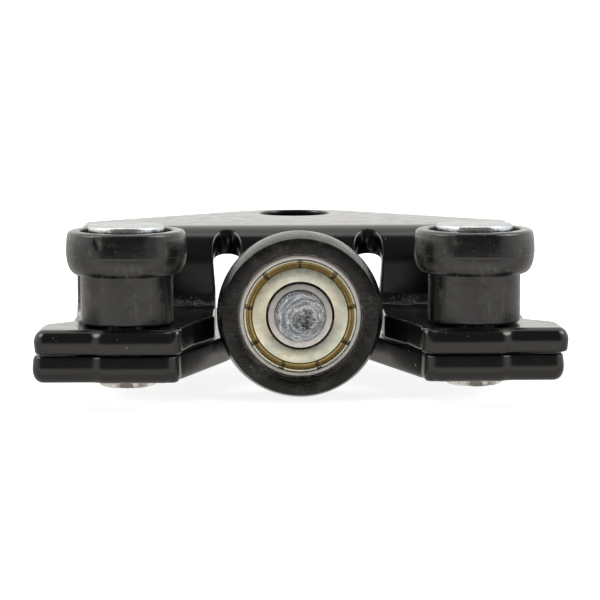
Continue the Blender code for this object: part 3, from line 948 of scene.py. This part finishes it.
def black_plastic(name, shade, roughness, gloss, film_radius=None):
    """Satin moulded plastic: flow marks, pale smudges that are partly scuffs and partly painted highlight,
    pale dust and, inside a radius, a grey film.
    """
    finish = Finish(name, Specular_IOR_Level=gloss)
    dust = finish.specks(800.0, 0.06, 0.13)
    fine_dust = finish.specks(2400.0, 0.08, 0.22)
    dirt = finish.maths("MAXIMUM", dust, finish.times(fine_dust, 0.7))
    dark = tuple(value * 0.6 for value in shade)
    colour = finish.blended(finish.noise(160.0, 4.0, 0.65), dark, shade)
    smudges_and_sheen = finish.ranged(finish.noise(170.0, 6.0, 0.7), 0.46, 0.68)
    upright = finish.noise(1.0, 5.0, 0.7, finish.stretched(finish.place, (1300.0, 1300.0, 90.0)))
    level = finish.noise(1.0, 5.0, 0.7, finish.stretched(finish.place, (110.0, 110.0, 2400.0)))
    # Pale smudges: partly real scuffs, partly a painted highlight standing in for reflected sheen.
    worn = finish.times(smudges_and_sheen, finish.ranged(upright, 0.4, 0.7, 0.15, 1.0))
    colour = finish.blended(worn, colour, (0.085, 0.082, 0.075))
    if film_radius is not None:
        uneven = finish.times(finish.noise(900.0, 4.0, 0.7), 1.1 * MM)
        edge = finish.plus(finish.from_axis(), uneven)
        film = finish.ranged(edge, film_radius + 0.75 * MM, film_radius + 0.45 * MM, 0.0, 0.8)
        colour = finish.blended(film, colour, (0.23, 0.22, 0.20))
    finish.to_shader(finish.blended(dirt, colour, (0.22, 0.21, 0.195)), "Base Color")
    varied = finish.drifting(110.0, 3.0, roughness - 0.07, roughness + 0.12)
    rough = finish.plus(varied, finish.times(worn, 0.2))
    finish.to_shader(rough, "Roughness")
    normal = finish.bump(finish.noise(130.0, 3.0, 0.6), 0.2 * MM)
    normal = finish.bump(level, 0.03 * MM, normal)
    normal = finish.bump(upright, 0.05 * MM, normal)
    normal = finish.bump(smudges_and_sheen, 0.03 * MM, normal)
    normal = finish.bump(finish.noise(2600.0, 3.0, 0.6), 0.012 * MM, normal)
    finish.to_shader(finish.bump(dirt, 0.05 * MM, normal), "Normal")
    return finish.material


def bright_zinc():
    """Zinc plate: nearly white, bluish in places, stained, and patched dark and pale on the riveted ends.
    """
    finish = Finish("bright_zinc", Metallic=1.0, Specular_Tint=(0.62, 0.62, 0.61, 1.0))
    tint = finish.noise(260.0, 4.0, 0.6)
    colour = finish.blended(finish.ranged(tint, 0.4, 0.65), (0.74, 0.74, 0.735), (0.58, 0.63, 0.69))
    stains = finish.ranged(finish.noise(900.0, 5.0, 0.7), 0.55, 0.75)
    colour = finish.blended(stains, colour, (0.42, 0.40, 0.38))
    # The lowest millimetre, the riveted ends, is patched dark and pale.
    riveted = finish.ranged(finish.part(finish.place, "Z"), LOWER_LOW.z + 1.0 * MM, LOWER_LOW.z)
    riveted_patches = finish.blended(finish.ranged(tint, 0.4, 0.6), (0.2, 0.19, 0.17), (0.9, 0.89, 0.86))
    finish.to_shader(finish.blended(riveted, colour, riveted_patches), "Base Color")
    finish.to_shader(finish.drifting(600.0, 4.0, 0.12, 0.32), "Roughness")
    normal = finish.bump(finish.noise(520.0, 4.0, 0.6), 0.09 * MM)
    finish.to_shader(finish.bump(finish.noise(3500.0, 3.0, 0.6), 0.012 * MM, normal), "Normal")
    return finish.material


def peened_zinc():
    """The axle's hammered end: smeared bluish zinc round a darker, torn crater."""
    finish = Finish("peened_zinc", Metallic=1.0, Specular_Tint=(0.62, 0.62, 0.61, 1.0))
    across = finish.minus(finish.part(finish.place, "X"), CRATER.x)
    up = finish.minus(finish.part(finish.place, "Y"), CRATER.y)
    away = finish.length(across, up)
    swirl = finish.add("ShaderNodeCombineXYZ")
    softened = finish.plus(away, 0.3 * MM)
    wavy = finish.plus(away, finish.times(finish.noise(330.0, 3.0, 0.6), 1.6 * MM))
    finish.join(finish.times(wavy, 1400.0), swirl.inputs["X"])
    finish.join(finish.maths("DIVIDE", across, softened), swirl.inputs["Y"])
    finish.join(finish.maths("DIVIDE", up, softened), swirl.inputs["Z"])
    arcs = finish.noise(1.3, 5.0, 0.65, swirl.outputs["Vector"])
    lumps = finish.noise(700.0, 4.0, 0.65)
    colour = finish.blended(finish.ranged(arcs, 0.4, 0.6), (0.74, 0.75, 0.76), (0.30, 0.35, 0.41))
    ragged = finish.plus(away, finish.times(lumps, 1.0 * MM))
    crater = finish.ranged(ragged, 3.0 * MM, 1.9 * MM)
    torn = finish.ranged(finish.noise(1500.0, 5.0, 0.7), 0.42, 0.6)
    torn = finish.times(torn, finish.plus(finish.times(crater, 0.85), 0.15))
    finish.to_shader(finish.blended(torn, colour, (0.06, 0.055, 0.05)), "Base Color")
    finish.to_shader(finish.ranged(arcs, 0.3, 0.7, 0.16, 0.4), "Roughness")
    normal = finish.bump(arcs, 0.4 * MM)
    normal = finish.bump(lumps, 0.22 * MM, normal)
    normal = finish.bump(finish.times(finish.noise(1800.0, 4.0, 0.7), crater), 0.2 * MM, normal)
    finish.to_shader(normal, "Normal")
    return finish.material


def ground_steel():
    """Ground bearing rings: a fine grain and a thin, uneven film of oil."""
    finish = Finish("ground_bearing_steel", Metallic=1.0)
    film = finish.noise(220.0, 3.0, 0.6)
    finish.to_shader(finish.blended(film, (0.58, 0.56, 0.54), (0.72, 0.70, 0.67)), "Base Color")
    finish.to_shader(finish.drifting(900.0, 3.0, 0.32, 0.46), "Roughness")
    finish.to_shader(finish.bump(finish.noise(4200.0, 2.0, 0.5), 0.006 * MM), "Normal")
    return finish.material


def gold_zinc():
    """Passivated zinc on the shields: pale gold, browner in the channel with painted shade deep in it, and
    painted shade in the crimps.
    """
    finish = Finish("pale_gold_zinc", Metallic=1.0)
    radius = finish.from_axis()
    channel_in = finish.ranged(radius, 8.42 * MM, 8.7 * MM)
    channel_out = finish.ranged(radius, 9.7 * MM, 9.55 * MM)
    channel = finish.times(channel_in, channel_out)
    patches = finish.ranged(finish.noise(140.0, 3.0, 0.6), 0.35, 0.65)
    plate = finish.blended(patches, (0.74, 0.70, 0.54), (0.60, 0.62, 0.53))
    brown = finish.blended(finish.noise(320.0, 3.0, 0.6), (0.34, 0.25, 0.08), (0.66, 0.54, 0.26))
    # Painted shade deep in the channel's hollow.
    shaded_in = finish.ranged(radius, 8.75 * MM, 9.1 * MM)
    shaded_out = finish.ranged(radius, 9.52 * MM, 9.3 * MM, 0.0, 0.85)
    brown = finish.blended(finish.times(shaded_in, shaded_out), brown, (0.13, 0.08, 0.025))
    # Painted shade in the crimps' pressed notches, standing in for the shade that falls in them.
    angle = finish.maths("ARCTAN2", finish.part(finish.place, "Y"), finish.part(finish.place, "X"))
    turns = finish.times(finish.minus(angle, math.pi / 2), CRIMPS / math.tau)
    off_crimp = finish.minus(turns, finish.maths("ROUND", turns, 0.0))
    arc = finish.times(finish.maths("ABSOLUTE", off_crimp, 0.0), math.tau / CRIMPS)
    crimp_shade = finish.ranged(finish.times(arc, radius), 0.36 * MM, 0.16 * MM)
    crimp_shade = finish.times(crimp_shade, finish.ranged(radius, 8.5 * MM, 8.8 * MM, 0.0, 0.7))
    colour = finish.blended(channel, plate, brown)
    finish.to_shader(finish.blended(crimp_shade, colour, (0.05, 0.04, 0.025)), "Base Color")
    finish.to_shader(finish.drifting(700.0, 4.0, 0.2, 0.34), "Roughness")
    normal = finish.bump(finish.noise(260.0, 2.0, 0.5), 0.03 * MM)
    finish.to_shader(finish.bump(finish.noise(3800.0, 2.0, 0.5), 0.005 * MM, normal), "Normal")
    return finish.material


# ---------------------------------------------------------------- putting the pieces in


def put(mesh, material, body, nodes, place=None):
    """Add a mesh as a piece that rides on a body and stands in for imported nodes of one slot."""
    piece = bpy.data.objects.new(mesh.name, mesh)
    bpy.context.scene.collection.objects.link(piece)
    if place is not None:
        piece.matrix_world = place
    mesh.materials.append(material)
    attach(piece, body)
    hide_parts(*nodes)


def carriage_pieces(paint, zinc):
    put(bracket_mesh(), paint, "carriage", ["upper_bracket"])
    put(lower_mesh(), paint, "carriage", ["lower_plate"])
    for side, name, seed in ((-1, "left", 31.0), (1, "right", 47.0)):
        place = Matrix.Translation((side * ROLLER_SPACING, ROLLER_Y, 0.0))
        pin = roller_pin_mesh(f"{name}_pin_turned", seed)
        put(pin, zinc, "carriage", [f"{name}_roller_pin"], place)


def roller_pieces(plastic):
    front = -math.pi / 2
    nicks = {
        "left": [
            (front - 0.46, 14.5 * MM, 0.8 * MM, 0.3 * MM),
            (front - 0.43, 13.7 * MM, 0.5 * MM, 0.2 * MM),
            (front - 0.2, 14.0 * MM, 1.4 * MM, 0.1 * MM),
            (front + 0.45, 13.9 * MM, 1.6 * MM, 0.08 * MM),
        ],
        "right": [
            (front - 0.45, 13.9 * MM, 1.6 * MM, 0.1 * MM),
            (front + 0.2, 14.2 * MM, 1.2 * MM, 0.08 * MM),
        ],
    }
    for side, name in ((-1, "left"), (1, "right")):
        mesh = guide_roller_mesh(f"{name}_roller_moulding", nicks[name])
        place = Matrix.Translation((side * ROLLER_SPACING, ROLLER_Y, ROLLER_BASE))
        put(mesh, plastic, f"{name}_roller", [f"{name}_guide_roller"], place)


def wheel_pieces(tyre, steel, gold, zinc):
    forward = Matrix.Translation(WHEEL) @ Matrix.Rotation(math.pi / 2, 4, "X")
    backward = Matrix.Translation(WHEEL) @ Matrix.Rotation(-math.pi / 2, 4, "X")
    put(tyre_mesh(), tyre, "load_wheel", ["load_wheel_tyre"], forward)
    put(outer_ring_mesh(), steel, "load_wheel", ["bearing_outer_ring"], forward)
    put(inner_ring_mesh(), steel, "carriage", ["bearing_inner_ring"], forward)
    front = shield_mesh("front_shield_pressed")
    put(front, gold, "load_wheel", ["bearing_front_shield"], forward)
    rear = shield_mesh("rear_shield_pressed")
    put(rear, gold, "load_wheel", ["bearing_rear_shield"], backward)
    put(axle_mesh(), zinc, "carriage", ["load_wheel_axle"], forward)
    for name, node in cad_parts.items():
        if name.startswith(("bearing_ball", "bearing_cage")):
            for holder in node.material_slots:
                holder.material = steel


# ---------------------------------------------------------------- studio


def studio_world():
    """White behind and at both sides, lamps overhead and high at each side, a dim room in front.

    The camera itself sees plain white.
    """
    world = bpy.data.worlds.new("studio")
    bpy.context.scene.world = world
    world.use_nodes = True
    nodes = Nodes(world.node_tree)
    background = nodes.tree.nodes["Background"]
    background.inputs["Color"].default_value = (1.0, 0.985, 0.95, 1.0)
    direction = nodes.add("ShaderNodeTexCoord").outputs["Generated"]
    backward = nodes.part(direction, "Y")
    wall = nodes.ranged(backward, -0.12, 0.06, 0.0, 1.3)
    sideways = nodes.maths("ABSOLUTE", nodes.part(direction, "X"), 0.0)
    sides = nodes.ranged(sideways, 0.55, 0.95, 0.0, 1.1)
    strip = nodes.times(nodes.ranged(backward, -0.04, 0.04), nodes.ranged(backward, 0.3, 0.2, 0.0, 2.2))
    overhead = nodes.times(strip, nodes.ranged(nodes.part(direction, "Z"), 0.85, 0.95))
    room = 0.16
    strength = nodes.maths("MAXIMUM", wall, sides)
    strength = nodes.maths("MAXIMUM", strength, nodes.maths("MAXIMUM", overhead, room))
    for side in (-1.0, 1.0):
        toward = nodes.add("ShaderNodeVectorMath", operation="DOT_PRODUCT")
        toward.inputs[1].default_value = Vector((side * 0.72, -0.05, 0.69)).normalized()
        nodes.join(direction, toward.inputs[0])
        lamp = nodes.ranged(toward.outputs["Value"], 0.962, 0.978, 0.0, 7.0)
        strength = nodes.maths("MAXIMUM", strength, lamp)
    seen = nodes.add("ShaderNodeMix")
    seen.inputs["B"].default_value = 1.5
    nodes.join(nodes.add("ShaderNodeLightPath").outputs["Is Camera Ray"], seen.inputs["Factor"])
    nodes.join(strength, seen.inputs["A"])
    nodes.join(seen.outputs["Result"], background.inputs["Strength"])


def studio_floor():
    """A white floor. In reflections it fades into the dim room in front and carries a painted shadow of
    the part near it.
    """
    half_width = 1.2
    front = -0.36
    back = 1.6
    height = CAD_LOW.z
    mesh = bpy.data.meshes.new("studio_floor")
    corners = [(-half_width, front, height), (half_width, front, height)]
    corners += [(half_width, back, height), (-half_width, back, height)]
    mesh.from_pydata(corners, [], [(0, 1, 2, 3)])
    floor = bpy.data.objects.new("studio_floor", mesh)
    bpy.context.scene.collection.objects.link(floor)
    finish = Finish("white_acrylic", Roughness=0.6, Base_Color=(0.5, 0.5, 0.5, 1.0))
    finish.shader.inputs["Emission Color"].default_value = (1.0, 1.0, 1.0, 1.0)
    finish.shader.inputs["Emission Strength"].default_value = 0.85
    reflected = finish.add("ShaderNodeEmission")
    reflected.inputs["Color"].default_value = (1.0, 0.965, 0.92, 1.0)
    depth = finish.part(finish.place, "Y")
    fade = finish.ranged(depth, -0.32, -0.08, 0.17, 1.3)
    # Painted shadow: in reflections the floor's glow is dimmed near the part, standing in for the part's
    # own shadow.
    painted_part_shadow = finish.ranged(depth, -0.095, -0.07, 1.0, 0.62)
    finish.join(finish.times(fade, painted_part_shadow), reflected.inputs["Strength"])
    choice = finish.add("ShaderNodeMixShader")
    finish.join(finish.add("ShaderNodeLightPath").outputs["Is Camera Ray"], choice.inputs["Fac"])
    finish.join(reflected.outputs["Emission"], choice.inputs[1])
    finish.join(finish.shader.outputs["BSDF"], choice.inputs[2])
    finish.join(choice.outputs["Shader"], finish.tree.nodes["Material Output"].inputs["Surface"])
    mesh.materials.append(finish.material)


def camera():
    """A long lens in front of the carriage, a little above it and turned slightly to the right."""
    data = bpy.data.cameras.new("camera")
    data.lens = 144.9
    data.sensor_width = 36.0
    data.clip_start = 0.01
    item = bpy.data.objects.new("camera", data)
    turn = Matrix.Rotation(math.radians(-1.23), 4, "Z")
    tilt = Matrix.Rotation(math.radians(90.0 - 6.85), 4, "X")
    roll = Matrix.Rotation(math.radians(-0.145), 4, "Z")
    item.matrix_world = Matrix.Translation((-9.15 * MM, -477.0 * MM, 39.9 * MM)) @ turn @ tilt @ roll
    bpy.context.scene.collection.objects.link(item)
    bpy.context.scene.camera = item


def build():
    bpy.context.scene.view_settings.view_transform = "Standard"
    camera()
    studio_world()
    studio_floor()
    paint = black_paint()
    zinc = bright_zinc()
    carriage_pieces(paint, zinc)
    roller_pieces(black_plastic("satin_black_nylon", (0.0042, 0.0040, 0.0038), 0.2, 0.6))
    tyre = black_plastic("satin_black_tyre", (0.0034, 0.0031, 0.0026), 0.2, 0.36, BEARING_RADIUS)
    wheel_pieces(tyre, ground_steel(), gold_zinc(), peened_zinc())


build()
